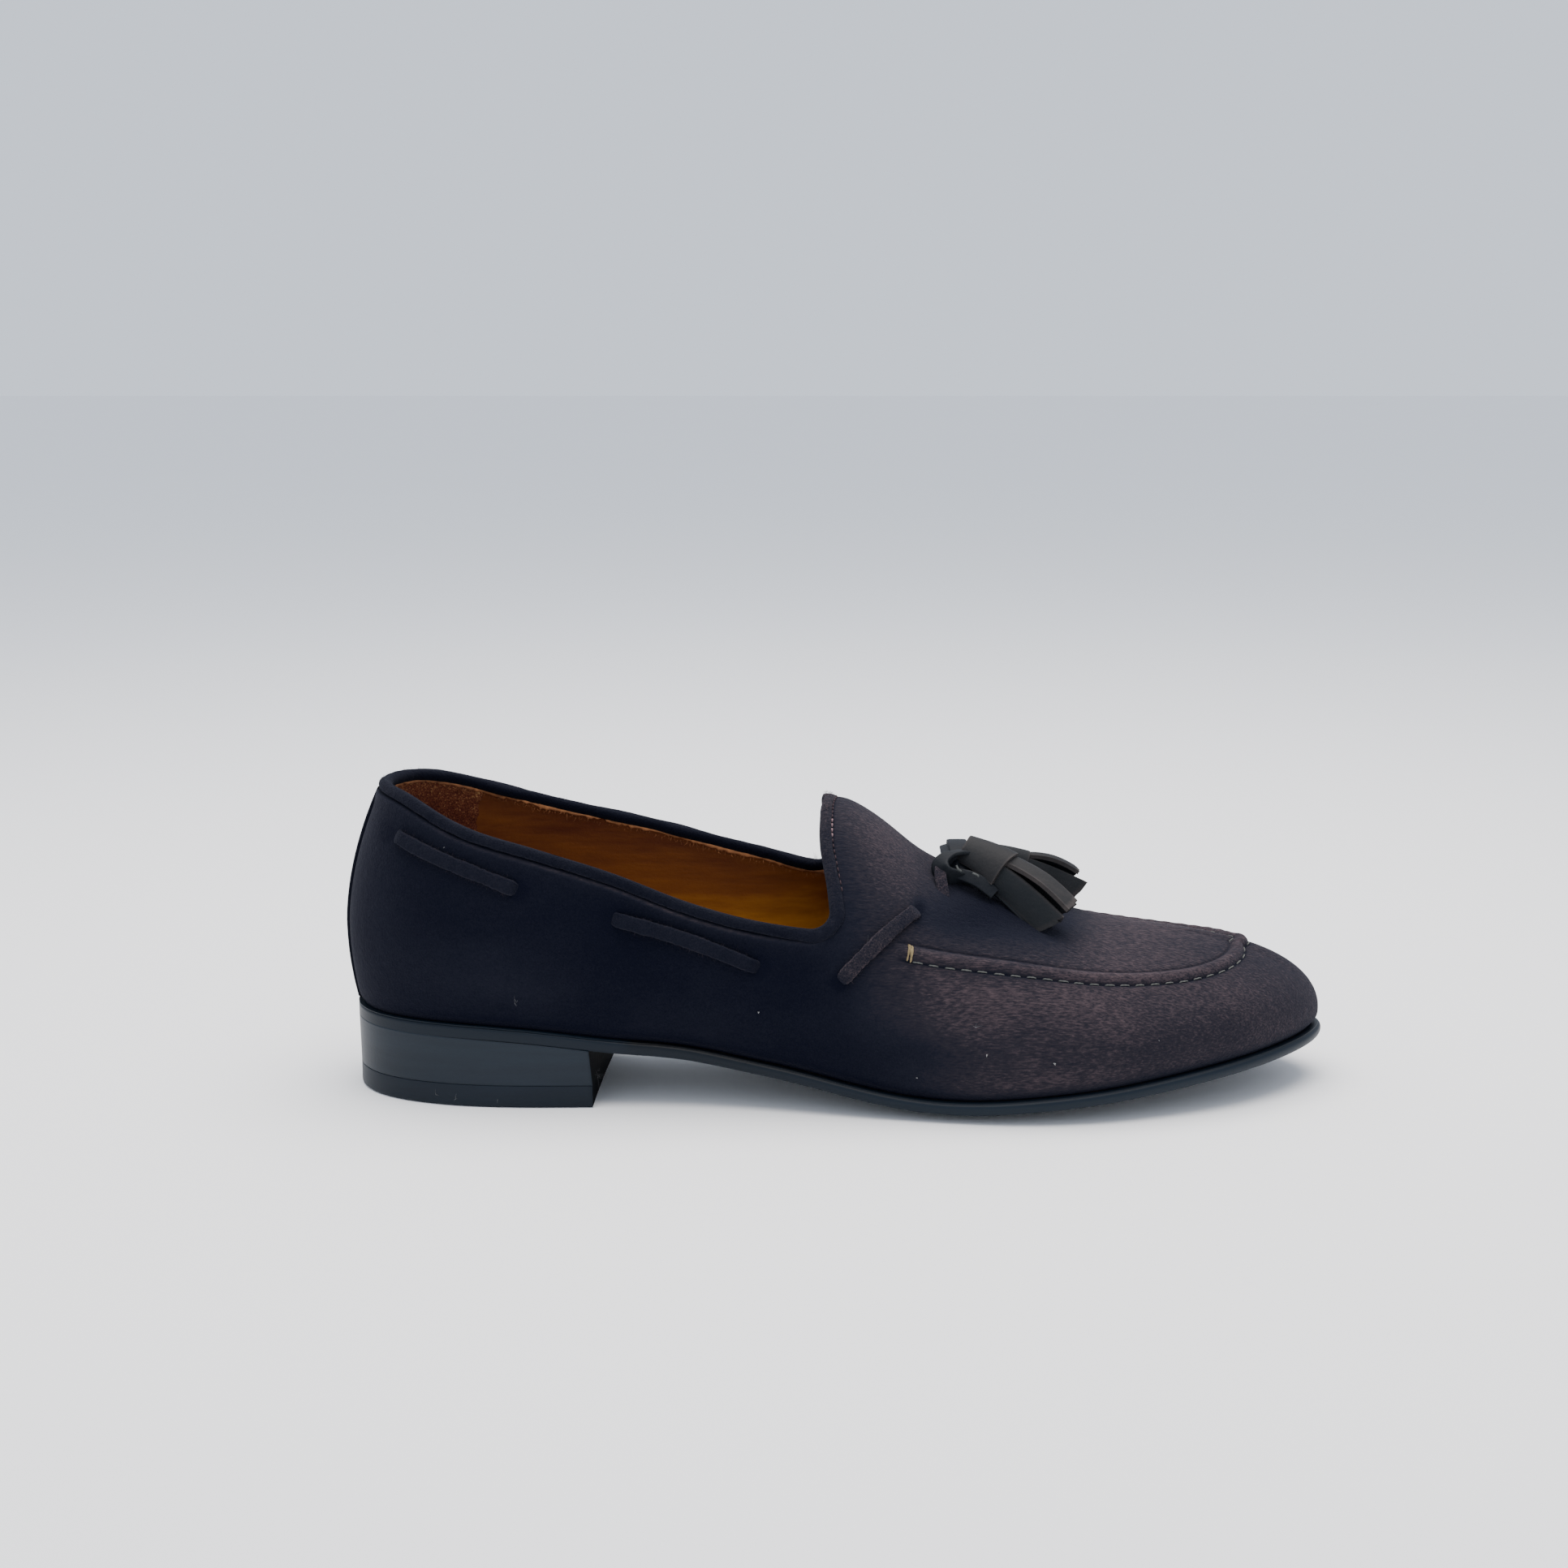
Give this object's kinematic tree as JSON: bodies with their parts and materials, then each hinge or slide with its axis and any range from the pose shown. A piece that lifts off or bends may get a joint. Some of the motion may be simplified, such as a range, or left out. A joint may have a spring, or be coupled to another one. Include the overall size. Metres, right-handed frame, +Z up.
{
  "type": "tassel loafer",
  "caption": "Low slip-on suede dress shoe with a raised apron seam, bound collar, threaded side lace, fringed tassels, leather sole and low stacked heel.",
  "frame": {"origin": "centre of the plan box on the floor", "axes": "+X from heel to toe, -Y towards the outer side of a right shoe, +Z up"},
  "size_m": [0.3032, 0.1036, 0.0955],
  "materials": {
    "brown_suede": "napped suede",
    "suede_lace": "napped suede",
    "suede_binding": "rolled suede edge",
    "tan_lining": "smooth lining leather",
    "blackened_sole": "blackened, waxed edge",
    "blackened_heel": "blackened, waxed stack",
    "top_lift_rubber": "smooth hard rubber",
    "tassel_leather": "smooth cut leather"
  },
  "bodies": {
    "root": {"outsole": "blackened_sole", "heel_stack": "blackened_heel", "top_lift": "top_lift_rubber", "insole": "tan_lining", "upper": "brown_suede", "collar_binding": "suede_binding", "back_strip": "suede_binding", "rear_lace_lateral": "suede_lace", "front_lace_lateral": "suede_lace", "cross_lace_lateral": "suede_lace", "rear_lace_medial": "suede_lace", "front_lace_medial": "suede_lace", "cross_lace_medial": "suede_lace", "lace_knot": "tassel_leather", "tassel_lateral": "tassel_leather", "tassel_medial": "tassel_leather"}
  },
  "joints": []
}
